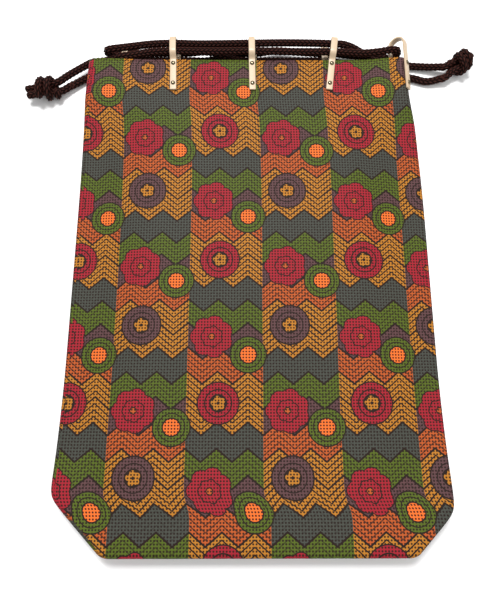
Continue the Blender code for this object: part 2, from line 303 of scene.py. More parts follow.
@dataclass(frozen=True)
class PrintedCloth:
    """Bonded cloth with zigzag bands, roundels and rosettes in small lacquer dots."""

    zigzag: float = 16.4
    rise: float = 6.7
    row: float = 13.4
    stripe: float = 3.35
    dot: float = 1.64
    repeat_across: float = 82.0
    repeat_along: float = 80.4
    stripe_line: float = 0.85
    band_line: float = 1.25
    hole_edge: float = 0.40
    hole_core: float = 0.24
    hole_depth: float = 0.94
    hole_roughness: float = 0.10
    plain_stripe: float = 0.30
    shade: Shade = Shade(roughness=0.60, specular=0.10)
    rows: tuple[Dye, ...] = (
        Dye.SLATE, Dye.GOLD, Dye.GOLD, Dye.RED_ORANGE, Dye.PLUM, Dye.GREEN,
    )
    stripes: tuple[tuple[Dye, float], ...] = (
        (Dye.GOLD, 1.0), (Dye.RED_ORANGE, 0.75), (Dye.GREEN, 0.55), (Dye.PLUM, 0.45),
    )
    motifs: tuple[Motif, ...] = (
        Motif(((13.0, 60.0), (54.0, 20.0)), 12.2, ROSETTE, 7, 0.13),
        Motif(((33.0, 50.0), (74.5, 11.5)), 10.2, ROUNDEL),
        Motif(((56.0, 66.5),), 11.2, PLUM_ROUNDEL),
        Motif(((17.0, 24.0),), 11.4, CRIMSON_ROUNDEL),
        Motif(((56.0, 66.5), (17.0, 24.0)), 4.4, BLOSSOM, 5, 0.30, 0.3),
    )

    def centred(self, graph: Graph, value: Socket, centre: float, period: float) -> Socket:
        """Distance from the nearest repeat of a centre.

        Args:
            graph: The material's nodes.
            value: A place on the cloth, in millimetres.
            centre: The centre in the first repeat.
            period: The repeat's length.

        Returns:
            The signed distance.
        """
        return graph.math("WRAP", graph.math("SUBTRACT", value, centre), period / 2, -period / 2)

    def dyed(self, stops: Sequence[tuple[float, Dye]]) -> list[tuple[float, Colour]]:
        """Ramp stops with each dye's colour."""
        return [(place, dye.value) for place, dye in stops]

    def add_motif(self, graph: Graph, across: Socket, along: Socket, motif: Motif,
                  place: tuple[float, float], under: Socket) -> Socket:
        """Lay one motif over the colours under it.

        Args:
            graph: The material's nodes.
            across: Place across the cloth, in millimetres.
            along: Place along the cloth, in millimetres.
            motif: The motif.
            place: Its centre in the repeat.
            under: The colours so far.

        Returns:
            The colours with the motif.
        """
        dx = self.centred(graph, across, place[0], self.repeat_across)
        dy = self.centred(graph, along, place[1], self.repeat_along)
        reach = graph.math("DIVIDE", graph.reach(dx, dy), motif.radius)
        if motif.petals:
            angle = graph.math("ARCTAN2", dy, dx)
            half = graph.math("MULTIPLY_ADD", angle, motif.petals / 2, motif.turn)
            lobe = graph.math("ABSOLUTE", graph.math("SINE", half))
            lobe = graph.math("MULTIPLY_ADD", lobe, motif.petal_depth, 1 - motif.petal_depth)
            reach = graph.math("DIVIDE", reach, lobe)
        colour = graph.ramp(reach, self.dyed(motif.rings), True)
        inside = graph.math("LESS_THAN", reach, 1.0)
        return graph.mix(inside, under, colour)

    def add_bands(self, graph: Graph, across: Socket, along: Socket) -> Socket:
        """Colour the zigzag bands, with dark lines between them and inside them.

        Args:
            graph: The material's nodes.
            across: Place across the cloth, in millimetres.
            along: Place along the cloth, in millimetres.

        Returns:
            The bands' colours.
        """
        count = len(self.rows)
        peak = graph.math("PINGPONG", across, self.zigzag / 2)
        level = graph.math("MULTIPLY_ADD", peak, self.rise / (self.zigzag / 2), along)
        column = graph.math("FLOOR", graph.math("DIVIDE", across, self.repeat_across / 2))
        odd = graph.math("FLOORED_MODULO", column, 2.0)
        level = graph.math("MULTIPLY_ADD", odd, count / 2 * self.row, level)
        turn = graph.math("FLOORED_MODULO", level, count * self.row)
        turn = graph.math("DIVIDE", turn, count * self.row)
        bands = [(i / count, dye) for i, dye in enumerate(self.rows)]
        colour = graph.ramp(turn, self.dyed(bands), True)

        share = dict(self.stripes)
        weights = [(i / count, (share.get(dye, self.plain_stripe),) * 3)
                   for i, dye in enumerate(self.rows)]
        weight = graph.ramp(turn, weights, True)
        stripe = graph.math("FLOORED_MODULO", level, self.stripe)
        line = graph.math("MULTIPLY", graph.math("LESS_THAN", stripe, self.stripe_line), weight)
        within = graph.math("FLOORED_MODULO", level, self.row)
        line = graph.math("MAXIMUM", line, graph.math("LESS_THAN", within, self.band_line))
        return graph.mix(line, colour, Dye.LINE.value)

    def off_centre(self, graph: Graph, value: Socket) -> Socket:
        """Distance from the middle of a dot's cell, in cells."""
        cell = graph.math("FRACT", graph.math("DIVIDE", value, self.dot))
        return graph.math("SUBTRACT", cell, 0.5)

    def build(self) -> bpy.types.Material:
        """Wire the print.

        Returns:
            The finished material.
        """
        graph = Graph("printed_cloth")
        self.shade.apply(graph)
        split = graph.node("ShaderNodeSeparateXYZ")
        graph.plug(split.inputs[0], graph.node("ShaderNodeUVMap", uv_map="cloth_lay").outputs[0])
        across, along = (graph.math("MULTIPLY", side, 100.0) for side in split.outputs[:2])
        colour = self.add_bands(graph, across, along)
        for motif in self.motifs:
            for centre in motif.places:
                colour = self.add_motif(graph, across, along, motif, centre, colour)

        near = graph.reach(self.off_centre(graph, across), self.off_centre(graph, along))
        hole = graph.soft_step(near, self.hole_edge, self.hole_core)
        dark = graph.math("MULTIPLY", hole, self.hole_depth)
        colour = graph.mix(dark, colour, Dye.LINE.value)

        patch = graph.noise(38.0, 4.0)
        grain = graph.noise(1500.0, 2.0)
        tone = graph.math("MULTIPLY", graph.math("MULTIPLY_ADD", patch, 0.60, 0.70),
                          graph.math("MULTIPLY_ADD", grain, 0.90, 0.55))
        tone = graph.ramp(tone, [(0.0, BLACK), (1.0, WHITE)], False)
        colour = graph.mix(1.0, colour, tone, "MULTIPLY")
        graph.plug(graph.shader.inputs["Base Color"], colour)
        rough = self.shade.vary(graph, grain, 0.20)
        rough = graph.math("MULTIPLY_ADD", hole, self.hole_roughness, rough)
        graph.plug(graph.shader.inputs["Roughness"], rough)
        relief = graph.bump(near, 0.55, 0.00025)
        graph.plug(graph.shader.inputs["Normal"], graph.bump(grain, 0.35, 0.00012, relief))
        return graph.material


@dataclass(frozen=True)
class PlainCloth:
    """Plain woven cloth: the lining and the cut edge."""

    name: str
    colour: Colour
    dark: Colour
    threads: float = 2200.0
    shade: Shade = Shade(roughness=0.75, sheen=0.25, specular=0.25)

    def build(self) -> bpy.types.Material:
        """Wire the plain weave.

        Returns:
            The finished material.
        """
        graph = Graph(self.name)
        self.shade.apply(graph)
        split = graph.node("ShaderNodeSeparateXYZ")
        graph.plug(split.inputs[0], graph.node("ShaderNodeTexCoord").outputs["Object"])
        warp = graph.math("SINE", graph.math("MULTIPLY", split.outputs[0], self.threads * 3))
        weft = graph.math("SINE", graph.math("MULTIPLY", split.outputs[1], self.threads * 3))
        weave = graph.math("MULTIPLY_ADD", graph.math("MULTIPLY", warp, weft), 0.5, 0.5)
        blotch = graph.noise(120.0, 4.0)
        share = graph.math("MULTIPLY_ADD", weave, 0.45, graph.math("MULTIPLY", blotch, 0.45))
        graph.plug(graph.shader.inputs["Base Color"], graph.mix(share, self.dark, self.colour))
        graph.plug(graph.shader.inputs["Normal"], graph.bump(weave, 0.4, 0.00015))
        return graph.material


@dataclass(frozen=True)
class CreamStrip:
    """Cream coated strip with faint lengthwise streaks."""

    colour: Colour = (0.520, 0.395, 0.265)
    streak: Colour = (0.430, 0.300, 0.180)
    shade: Shade = Shade(roughness=0.44, coat=0.18, coat_roughness=0.25)

    def build(self) -> bpy.types.Material:
        """Wire the strip's finish.

        Returns:
            The finished material.
        """
        graph = Graph("cream_strip")
        self.shade.apply(graph)
        local = graph.node("ShaderNodeUVMap", uv_map="strip_lay").outputs[0]
        stretch = graph.node("ShaderNodeMapping")
        stretch.inputs["Scale"].default_value = (60.0, 5.0, 1.0)
        graph.plug(stretch.inputs["Vector"], local)
        streaks = graph.noise(2.2, 4.0, stretch.outputs[0])
        blotch = graph.noise(260.0, 3.0)
        share = graph.soft_step(streaks, 0.46, 0.74)
        share = graph.math("MULTIPLY", share, graph.math("MULTIPLY_ADD", blotch, 0.7, 0.25))
        graph.plug(graph.shader.inputs["Base Color"], graph.mix(share, self.colour, self.streak))
        graph.plug(graph.shader.inputs["Roughness"], self.shade.vary(graph, blotch, 0.20))
        graph.plug(graph.shader.inputs["Normal"], graph.bump(streaks, 0.25, 0.0001))
        return graph.material


@dataclass(frozen=True)
class RivetMetal:
    """Dark brass rivet metal with fine scratches."""

    colour: Colour = (0.20, 0.17, 0.11)
    worn: Colour = (0.07, 0.06, 0.04)
    shade: Shade = Shade(roughness=0.25, metallic=1.0)

    def build(self) -> bpy.types.Material:
        """Wire the metal.

        Returns:
            The finished material.
        """
        graph = Graph("rivet_metal")
        self.shade.apply(graph)
        cloud = graph.noise(900.0, 4.0)
        share = graph.soft_step(cloud, 0.42, 0.72)
        graph.plug(graph.shader.inputs["Base Color"], graph.mix(share, self.colour, self.worn))
        graph.plug(graph.shader.inputs["Roughness"], self.shade.vary(graph, cloud, 0.22))
        scratches = graph.noise(4200.0, 2.0)
        graph.plug(graph.shader.inputs["Normal"], graph.bump(scratches, 0.12, 0.00006))
        return graph.material


@dataclass(frozen=True)
class BraidedCordFinish:
    """Dark brown braiding yarn, with painted shade darkening the valleys between its yarns."""

    crown: Colour = (0.062, 0.019, 0.014)
    # Painted shade: the near-black colour laid in the valleys between the yarns.
    painted_valley_shade: Colour = (0.0040, 0.0014, 0.0010)
    shade: Shade = Shade(roughness=0.63, specular=0.06)

    def build(self) -> bpy.types.Material:
        """Wire the yarn.

        Returns:
            The finished material.
        """
        graph = Graph("braided_cord")
        self.shade.apply(graph)
        lay = graph.node("ShaderNodeUVMap", uv_map="braid_lay").outputs[0]
        split = graph.node("ShaderNodeSeparateXYZ")
        graph.plug(split.inputs[0], lay)
        height = split.outputs[1]
        fibres = graph.math("SINE", graph.math("MULTIPLY", split.outputs[0], 44.0))
        fibres = graph.math("MULTIPLY_ADD", fibres, 0.5, 0.5)
        fuzz = graph.noise(3200.0, 3.0)
        # Painted shade: the colour darkens from the yarn crowns down into the valleys, following
        # the braid's relief height.
        share = graph.soft_step(height, 0.25, 1.00)
        share = graph.math("MULTIPLY", share, graph.math("MULTIPLY_ADD", fuzz, 0.7, 0.6))
        share = graph.math("MULTIPLY", share, graph.math("MULTIPLY_ADD", fibres, 0.35, 0.75))
        graph.plug(graph.shader.inputs["Base Color"], graph.mix(share, self.painted_valley_shade, self.crown))
        graph.plug(graph.shader.inputs["Roughness"], self.shade.vary(graph, fuzz, 0.30))
        relief = graph.bump(fibres, 0.35, 0.00012)
        graph.plug(graph.shader.inputs["Normal"], graph.bump(fuzz, 0.30, 0.00008, relief))
        return graph.material


@dataclass(frozen=True)
class PaleFloor:
    """Plain white paper sweep."""

    colour: Colour = (0.93, 0.93, 0.93)
    speck: Colour = (0.86, 0.86, 0.86)
    shade: Shade = Shade(roughness=0.90, specular=0.10)

    def build(self) -> bpy.types.Material:
        """Wire the paper.

        Returns:
            The finished material.
        """
        graph = Graph("pale_floor")
        self.shade.apply(graph)
        share = graph.math("MULTIPLY", graph.noise(400.0, 2.0), 0.10)
        tint = graph.mix(share, self.colour, self.speck)
        graph.plug(graph.shader.inputs["Base Color"], tint)
        return graph.material


@dataclass
class Finishes:
    """Every finish of the pouch, made once."""

    cloth: bpy.types.Material = field(default_factory=lambda: PrintedCloth().build())
    lining: bpy.types.Material = field(default_factory=lambda: PlainCloth(
        "lining_cloth", (0.150, 0.120, 0.085), (0.085, 0.065, 0.045)).build())
    edge: bpy.types.Material = field(default_factory=lambda: PlainCloth(
        "cut_edge", (0.560, 0.600, 0.440), (0.300, 0.310, 0.200)).build())
    strip: bpy.types.Material = field(default_factory=lambda: CreamStrip().build())
    metal: bpy.types.Material = field(default_factory=lambda: RivetMetal().build())
    cord: bpy.types.Material = field(default_factory=lambda: BraidedCordFinish().build())
    floor: bpy.types.Material = field(default_factory=lambda: PaleFloor().build())


# -------------------------------------------------------------------- helpers


def ease(amount: float) -> float:
    """Smooth step from 0 to 1, flat at both ends."""
    amount = min(max(amount, 0.0), 1.0)
    return amount * amount * (3 - 2 * amount)


def link(name: str, data: bpy.types.Mesh, *materials: bpy.types.Material) -> bpy.types.Object:
    """Link mesh data as a named object.

    Args:
        name: The object's name.
        data: Its mesh.
        *materials: Its finishes in slot order.

    Returns:
        The new object.
    """
    piece = bpy.data.objects.new(name, data)
    for material in materials:
        data.materials.append(material)
    bpy.context.scene.collection.objects.link(piece)
    return piece


def grid_mesh(name: str, rows: np.ndarray, lay: np.ndarray, layer: str, closed: bool,
              caps: bool) -> bpy.types.Mesh:
    """Skin a grid of points.

    Args:
        name: The mesh's name.
        rows: Points as rows by columns by 3.
        lay: Cloth coordinates as rows by columns+1 by 2, the last column the seam's far side.
        layer: Name of the coordinates' layer.
        closed: True where the last column meets the first.
        caps: True to close the first and last rows.

    Returns:
        The smooth-shaded mesh.
    """
    count, wide = rows.shape[:2]
    spans = wide if closed else wide - 1
    faces, corners = [], []
    for i in range(count - 1):
        for j in range(spans):
            k = (j + 1) % wide
            faces.append((i * wide + j, (i + 1) * wide + j, (i + 1) * wide + k, i * wide + k))
            corners += [(i, j), (i + 1, j), (i + 1, j + 1), (i, j + 1)]
    if caps:
        faces.append(tuple(range(wide)))
        corners += [(0, j) for j in range(wide)]
        faces.append(tuple(range((count - 1) * wide, count * wide))[::-1])
        corners += [(count - 1, j) for j in reversed(range(wide))]
    data = bpy.data.meshes.new(name)
    data.from_pydata([tuple(p) for p in rows.reshape(-1, 3)], [], faces)
    layer_data = data.uv_layers.new(name=layer)
    picked = np.array([lay[i, j] for i, j in corners], dtype=np.float32)
    layer_data.data.foreach_set("uv", picked.ravel())
    data.update()
    data.shade_smooth()
    return data


def outward(data: bpy.types.Mesh) -> bpy.types.Mesh:
    """Turn a closed mesh's faces outwards."""
    mesh = bmesh.new()
    mesh.from_mesh(data)
    bmesh.ops.recalc_face_normals(mesh, faces=mesh.faces)
    mesh.to_mesh(data)
    mesh.free()
    return data


def smooth_route(route: Sequence[Point], step: float) -> np.ndarray:
    """Even points on a smooth curve through a route.

    Args:
        route: The points that it passes through.
        step: Distance between the points returned.

    Returns:
        The points, one a row.
    """
    knots = [Vector(point) for point in route]
    knots = [2 * knots[0] - knots[1]] + knots + [2 * knots[-1] - knots[-2]]
    dense = []
    for a, b, c, d in zip(knots, knots[1:], knots[2:], knots[3:]):
        bend, twist = 2 * a - 5 * b + 4 * c - d, 3 * b - a - 3 * c + d
        for i in range(ROUTE_STEPS):
            t = i / ROUTE_STEPS
            dense.append(0.5 * (2 * b + (c - a) * t + bend * t * t + twist * t**3))
    dense.append(knots[-2])
    points = np.array(dense)
    run = np.concatenate([[0.0], np.cumsum(np.linalg.norm(np.diff(points, axis=0), axis=1))])
    wanted = np.linspace(0.0, run[-1], max(2, round(run[-1] / step)) + 1)
    return np.stack([np.interp(wanted, run, points[:, axis]) for axis in range(3)], axis=1)


# --------------------------------------------------------------------- braids


@dataclass
class Braid:
    """A round braided cord's skin: raised yarns in a herringbone of eight wales."""

    radius: float = 0.0024
    relief: float = 0.00078
    wales: int = 8
    pitch: float = 0.0027
    step: float = 0.00034
    sides: int = 48
    yarn_sharpness: float = 1.1
    wale_sharpness: float = 0.7
    tail_rounding: float = 0.8
    tail_tip: float = 0.03

    def frames(self, line: np.ndarray) -> tuple[np.ndarray, np.ndarray]:
        """Two cross axes at each point, without twist.

        Args:
            line: The centre line's points.

        Returns:
            The first and the second axis at each point.
        """
        along = np.gradient(line, axis=0)
        along /= np.linalg.norm(along, axis=1)[:, None]
        side = np.cross(along[0], (0.0, 0.0, 1.0))
        first = np.empty_like(line)
        for i, direction in enumerate(along):
            side = side - direction * (side @ direction)
            side /= np.linalg.norm(side)
            first[i] = side
        return first, np.cross(along, first)

    def rows(self, line: np.ndarray, round_tail: bool) -> tuple[np.ndarray, np.ndarray]:
        """The skin's points and yarn coordinates.

        Args:
            line: The centre line's points.
            round_tail: True to round the last end off.

        Returns:
            The points, and per point the place across a yarn and the height on it.
        """
        first, second = self.frames(line)
        run = np.concatenate([[0.0], np.cumsum(np.linalg.norm(np.diff(line, axis=0), axis=1))])
        turn = np.arange(self.sides + 1) / self.sides
        wale = turn * self.wales
        index = np.floor(wale).astype(int) % self.wales
        local = wale - np.floor(wale) - 0.5
        wale_width = 2 * math.pi * self.radius / self.wales
        odd = index % 2
        slant = np.where(odd == 0, 1.0, -1.0) * local * wale_width
        phase = (run[:, None] + slant[None, :] + 0.5 * self.pitch * odd[None, :]) / self.pitch
        yarn = phase - np.floor(phase)
        crown = (np.sin(math.pi * yarn) ** self.yarn_sharpness
                 * np.cos(math.pi * local)[None, :] ** self.wale_sharpness)
        reach = self.radius - self.relief * (1.0 - crown)
        if round_tail:
            end = np.clip((run[-1] - run) / (self.tail_rounding * self.radius), self.tail_tip, 1.0)
            reach = reach * np.sqrt(end * (2 - end))[:, None]
        angle = 2 * math.pi * turn
        points = (line[:, None, :]
                  + reach[:, :, None] * (np.cos(angle)[None, :, None] * first[:, None, :]
                                         + np.sin(angle)[None, :, None] * second[:, None, :]))
        return points, np.stack([yarn, crown], axis=2)

    def mesh(self, name: str, line: np.ndarray, round_tail: bool = False) -> bpy.types.Mesh:
        """Skin a centre line.

        Args:
            name: The mesh's name.
            line: The centre line's points.
            round_tail: True to round the last end off.

        Returns:
            The braided tube.
        """
        points, lay = self.rows(line, round_tail)
        return outward(grid_mesh(name, points[:, :-1], lay, "braid_lay", True, True))


class Side(Enum):
    """The side that a cord is pulled towards, with the sign of its direction."""

    LEFT = -1
    RIGHT = 1


@dataclass
class Knot:
    """Both ends of one cord tied together in an overhand knot, with short tails.

    Strands are given in the knot's own axes: +X runs from the tails to the pouch.
    """

    side: Side
    centre: Point
    turn: float
    wraps: tuple[tuple[float, float, float], ...]
    core: tuple[tuple[Point, ...], ...]
    braid: Braid = field(default_factory=Braid)
    wide: float = 0.0052
    high: float = 0.0046
    lap: float = 0.25
    wrap_turns: float = 1.16
    wrap_start: float = -0.33
    wrap_steps: int = 26
    tuck: float = 0.55
    tuck_slope: float = 3.2
    tuck_start: float = 2.2

    def place(self, point: Sequence[float]) -> Point:
        """Turn a point from the knot's axes to the frame's."""
        angle = math.radians(self.turn)
        x, y, z = point
        cx, cy, cz = self.centre
        return (cx + x * math.cos(angle) - y * math.sin(angle),
                cy + x * math.sin(angle) + y * math.cos(angle), cz + z)

    def wrap_line(self, along: float, lean: float, grow: float) -> list[Point]:
        """One turn of cord round the core.

        Args:
            along: Where the turn sits on the knot's axis.
            lean: How far it slants along the axis.
            grow: Scale of its width.

        Returns:
            Points of the turn, its ends dipping under the next one.
        """
        points = []
        for i in range(self.wrap_steps + 1):
            t = i / self.wrap_steps
            angle = 2 * math.pi * (self.wrap_turns * t + self.wrap_start)
            dip = 1.0 - self.tuck * ease(abs(t - 0.5) * 2 * self.tuck_slope - self.tuck_start)
            y = self.wide * grow * dip * math.sin(angle)
            z = self.high * grow * dip * math.cos(angle)
            points.append(self.place((along + lean * (t - 0.5) * 2, y, z)))
        return points

    def build(self, route: Sequence[Point], finishes: Finishes) -> bpy.types.Object:
        """Tie the knot as one piece, its core strands carrying on from the cord's two legs.

        Args:
            route: The cord's route, whose two ends meet the knot.
            finishes: The pouch's finishes.

        Returns:
            The knot.
        """
        name = f"knot_{self.side.name.lower()}"
        label = f"tied_{name}"
        strands = [self.wrap_line(*wrap) for wrap in self.wraps]
        ends = (route[1], route[0]), (route[-2], route[-1])
        for (leg, end), strand in zip(ends, self.core):
            lead = tuple(Vector(end).lerp(Vector(leg), self.lap))
            strands.append([lead, end] + [self.place(p) for p in strand])
        mesh = bmesh.new()
        for i, strand in enumerate(strands):
            line = smooth_route(strand, self.braid.step * 1.2)
            part = self.braid.mesh(f"{label}_strand_{i}", line, True)
            mesh.from_mesh(part)
            bpy.data.meshes.remove(part)
        data = bpy.data.meshes.new(label)
        mesh.to_mesh(data)
        mesh.free()
        data.shade_smooth()
        piece = link(label, data, finishes.cord)
        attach(piece, "root")
        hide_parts(name)
        return piece


@dataclass
class Drawcord:
    """One drawcord: a loop through the hoops whose two ends meet in a knot."""

    side: Side
    route: tuple[Point, ...]
    knot: Knot
    braid: Braid = field(default_factory=Braid)
    path_step: float = 0.002

    def build(self, finishes: Finishes) -> bpy.types.Object:
        """Lay the cord and tie its knot.

        Args:
            finishes: The pouch's finishes.

        Returns:
            The cord.
        """
        name = f"drawcord_{self.side.name.lower()}"
        line = smooth_route(self.route, self.braid.step)
        label = f"braided_{name}"
        piece = link(label, self.braid.mesh(label, line), finishes.cord)
        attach(piece, "root")
        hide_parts(name)
        knot = self.knot.build(self.route, finishes)
        return piece


# ---------------------------------------------------------------- pouch body


@dataclass
class PouchBody:
    """The sewn printed shell, boxed at its base, with a lining and a raw mouth edge.

    A station is a place along the pouch with its left and right half widths, front and
    back heights, left and right fold heights and left and right fold radii. A swell is a
    height with its waves across and along and its start, and a fray wave likewise.
    """

    wall: float = 0.0014
    nose_length: float = 0.0021
    left_chamfer_y: float = -0.1215
    right_chamfer_y: float = -0.1285
    chamfer_softness: float = 0.0016
    corner_rounding: float = 0.0030
    front_spread: float = 0.045
    back_plateau: float = 0.026
    back_spread: float = 0.012
    face_segments: int = 92
    fold_segments: int = 10
    mouth_y: float = 0.1355
    base_y: float = -0.1477
    ring_count: int = 118
    nose_rings: int = 6
    swells: tuple[tuple[float, float, float, float], ...] = (
        (0.00034, 31, 24, 0.6), (0.00026, -47, 39, 2.1), (0.00016, 83, 61, 0.0),
    )
    hollow: float = 0.0009
    hollow_place: tuple[float, float] = (0.080, -0.112)
    hollow_size: tuple[float, float] = (0.009, 0.016)
    dip: float = 0.0014
    dip_x: float = 0.071
    dip_size: float = 0.013
    fray: float = 0.00035
    fray_waves: tuple[tuple[float, float, float], ...] = ((0.00030, 55, 0.8), (0.00014, 173, 0.0))
    back_fray: float = 0.4
    front_z: float = 0.008
    stations: tuple[tuple[float, ...], ...] = (
        (0.1355, 0.1012, 0.0964, 0.0124, 0.0034, 0.0104, 0.0112, 0.0037, 0.0042),
        (0.1120, 0.1018, 0.0968, 0.0124, 0.0034, 0.0103, 0.0110, 0.0036, 0.0041),
        (0.0930, 0.1023, 0.1000, 0.0116, 0.0020, 0.0070, 0.0074, 0.0028, 0.0030),
        (0.0700, 0.1027, 0.1018, 0.0102, 0.0008, 0.0043, 0.0044, 0.0022, 0.0022),
        (0.0200, 0.1028, 0.1028, 0.0095, 0.0007, 0.0034, 0.0034, 0.0020, 0.0020),
        (-0.0500, 0.1028, 0.1028, 0.0095, 0.0007, 0.0036, 0.0036, 0.0020, 0.0020),
        (-0.0980, 0.1032, 0.1032, 0.0102, 0.0007, 0.0062, 0.0062, 0.0020, 0.0020),
        (-0.1220, 0.1036, 0.1036, 0.0116, 0.0032, 0.0090, 0.0090, 0.0020, 0.0020),
        (-0.1380, 0.1036, 0.1036, 0.0126, 0.0074, 0.0104, 0.0104, 0.0019, 0.0019),
        (-0.1477, 0.1036, 0.1036, 0.0129, 0.0091, 0.0110, 0.0110, 0.0019, 0.0019),
    )

    def station(self, y: float) -> np.ndarray:
        """Read the body's sizes at y, on a smooth curve through the stations.

        Args:
            y: Place along the pouch.

        Returns:
            Half widths, mid heights, fold heights and fold radii.
        """
        table = np.array(self.stations)[::-1]
        knots, values = table[:, 0], table[:, 1:]
        rises = np.diff(values, axis=0) / np.diff(knots)[:, None]
        steepest = 3 * np.minimum(abs(rises[1:]), abs(rises[:-1])) * (rises[1:] * rises[:-1] > 0)
        slopes = np.gradient(values, knots, axis=0)
        slopes[1:-1] = np.clip(slopes[1:-1], -steepest, steepest)
        i = int(np.clip(np.searchsorted(knots, y) - 1, 0, len(knots) - 2))
        step = knots[i + 1] - knots[i]
        t = (min(max(y, knots[0]), knots[-1]) - knots[i]) / step
        return (values[i] * (2 * t**3 - 3 * t**2 + 1) + slopes[i] * step * (t**3 - 2 * t**2 + t)
                + values[i + 1] * (3 * t**2 - 2 * t**3) + slopes[i + 1] * step * (t**3 - t**2))

    def chamfered(self, half_width: float, y: float, start_y: float) -> float:
        """Narrow a half width below start_y at 45 degrees, with a soft corner."""
        soft = self.chamfer_softness
        return half_width - soft * math.log1p(math.exp((start_y - y) / soft))

    def slack(self, x: float, y: float, upper: bool) -> float:
        """Small hollows and swells of the cloth.

        Args:
            x: Place across the pouch.
            y: Place along the pouch.
            upper: True on the front panel.

        Returns:
            The height to add.
        """
        if not upper:
            return 0.0
        fade = 0.030
        inside = (ease((0.100 - abs(x)) / fade) * ease((0.118 - y) / fade)
                  * ease((y + 0.140) / fade))
        swell = sum(height * math.sin(across * x + along * y + start)
                    for height, across, along, start in self.swells)
        (hollow_x, hollow_y), (wide, long) = self.hollow_place, self.hollow_size
        corner = -self.hollow * math.exp(-((abs(x) - hollow_x) / wide) ** 2
                                         - ((y - hollow_y) / long) ** 2)
        mouth = -self.dip * math.exp(-((x - self.dip_x) / self.dip_size) ** 2)
        mouth *= ease((y - 0.105) / fade)
        return swell * inside + corner + mouth

    def section(self, y: float, squash: float = 1.0,
                narrowing: float = 0.0) -> list[tuple[float, float]]:
        """One closed ring of the mid surface.

        Args:
            y: Place along the pouch.
            squash: Flattens the ring towards its middle height.
            narrowing: Taken off both half widths.

        Returns:
            The ring's (x, z) points, over the front, round the right fold and back.
        """
        left, right, front, back, left_z, right_z, left_r, right_r = self.station(y)
        left = self.chamfered(left, y, self.left_chamfer_y) - self.wall / 2 - narrowing
        right = self.chamfered(right, y, self.right_chamfer_y) - self.wall / 2 - narrowing
        x_left, x_right = left_r - left, right - right_r
        folds = (left_z, left_r), (right_z, right_r)

        def height(x: float, upper: bool) -> float:
            """Height of the front or the back at x."""
            sign, middle = (1, front) if upper else (-1, back)
            total = middle + self.slack(x, y, upper)
            for distance, (fold_z, fold_r) in zip((x - x_left, x_right - x), folds):
                if upper:
                    reach = ease(distance / self.front_spread)
                else:
                    reach = ease((distance - self.back_plateau) / self.back_spread)
                total += (fold_z + sign * fold_r - middle) * (1 - reach)
            return total

        ring = []
        for i in range(self.face_segments + 1):
            x = x_left + (x_right - x_left) * i / self.face_segments
            ring.append((x, height(x, True)))
        for i in range(1, self.fold_segments):
            angle = math.pi * i / self.fold_segments
            ring.append((x_right + right_r * math.sin(angle), right_z + right_r * math.cos(angle)))
        for i in range(self.face_segments + 1):
            x = x_right - (x_right - x_left) * i / self.face_segments
            ring.append((x, height(x, False)))
        for i in range(1, self.fold_segments):
            angle = math.pi * i / self.fold_segments
            ring.append((x_left - left_r * math.sin(angle), left_z - left_r * math.cos(angle)))
        middle = (front + back) / 2
        return [(x, middle + (z - middle) * squash) for x, z in ring]

    def mouth_wave(self, x: float, z: float) -> float:
        """How far the raw mouth edge falls short at x."""
        share = 1.0 if z > self.front_z else self.back_fray
        waves = sum(depth * math.sin(rate * x + start) for depth, rate, start in self.fray_waves)
        return share * (self.fray + waves)

    def rows(self) -> np.ndarray:
        """The mid surface as rows of points from mouth to base."""
        levels = self.mouth_y + (self.base_y - self.mouth_y) * np.linspace(0, 1, self.ring_count)
        rows = []
        for y in levels:
            fade = ease((y - 0.110) / (self.mouth_y - 0.110))
            rows.append([(x, y - fade * self.mouth_wave(x, z), z) for x, z in self.section(y)])
        for i in range(1, self.nose_rings + 1):
            angle = math.pi / 2 * i / self.nose_rings
            y = self.base_y - self.nose_length * math.sin(angle)
            narrowing = self.corner_rounding * (1 - math.cos(angle))
            rows.append([(x, y, z) for x, z in self.section(y, math.cos(angle), narrowing)])
        return np.array(rows)

    def lay(self, rows: np.ndarray) -> np.ndarray:
        """Cloth coordinates: girth across and length along, in tenths of a metre.

        Args:
            rows: The mid surface.

        Returns:
            The coordinates, with one more column for the seam's far side.
        """
        closed = np.concatenate([rows, rows[:, :1]], axis=1)
        steps = np.linalg.norm(np.diff(closed, axis=1), axis=2)
        girth = np.concatenate([np.zeros((len(rows), 1)), np.cumsum(steps, axis=1)], axis=1)
        middle = self.face_segments // 2
        girth -= girth[:, middle:middle + 1]
        length = closed[:, :, 1]
        return np.stack([girth * 10.0 + 0.35, length * 10.0 + 0.18], axis=2)

    def build(self, finishes: Finishes) -> bpy.types.Object:
        """Sew the pouch.

        Args:
            finishes: The pouch's finishes.

        Returns:
            The shell.
        """
        rows = self.rows()
        data = grid_mesh("sewn_shell", rows, self.lay(rows), "cloth_lay", True, False)
        mesh = bmesh.new()
        mesh.from_mesh(data)
        mesh.verts.ensure_lookup_table()
        last = [mesh.verts[i] for i in range(len(mesh.verts) - rows.shape[1], len(mesh.verts))]
        bmesh.ops.remove_doubles(mesh, verts=last, dist=1e-5)
        bmesh.ops.dissolve_degenerate(mesh, edges=mesh.edges, dist=1e-7)
        bmesh.ops.recalc_face_normals(mesh, faces=mesh.faces)
        if mesh.faces[:][0].normal.z < 0:
            bmesh.ops.reverse_faces(mesh, faces=mesh.faces)
        mesh.to_mesh(data)
        mesh.free()
        piece = link("sewn_shell", data, finishes.cloth, finishes.lining, finishes.edge)
        wall = piece.modifiers.new("wall", "SOLIDIFY")
        wall.thickness = self.wall
        wall.offset = 0.0
        wall.material_offset = 1
        wall.material_offset_rim = 2
        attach(piece, "root")
        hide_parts("pouch_body")
        return piece


# --------------------------------------------------------------- hoops, rivets


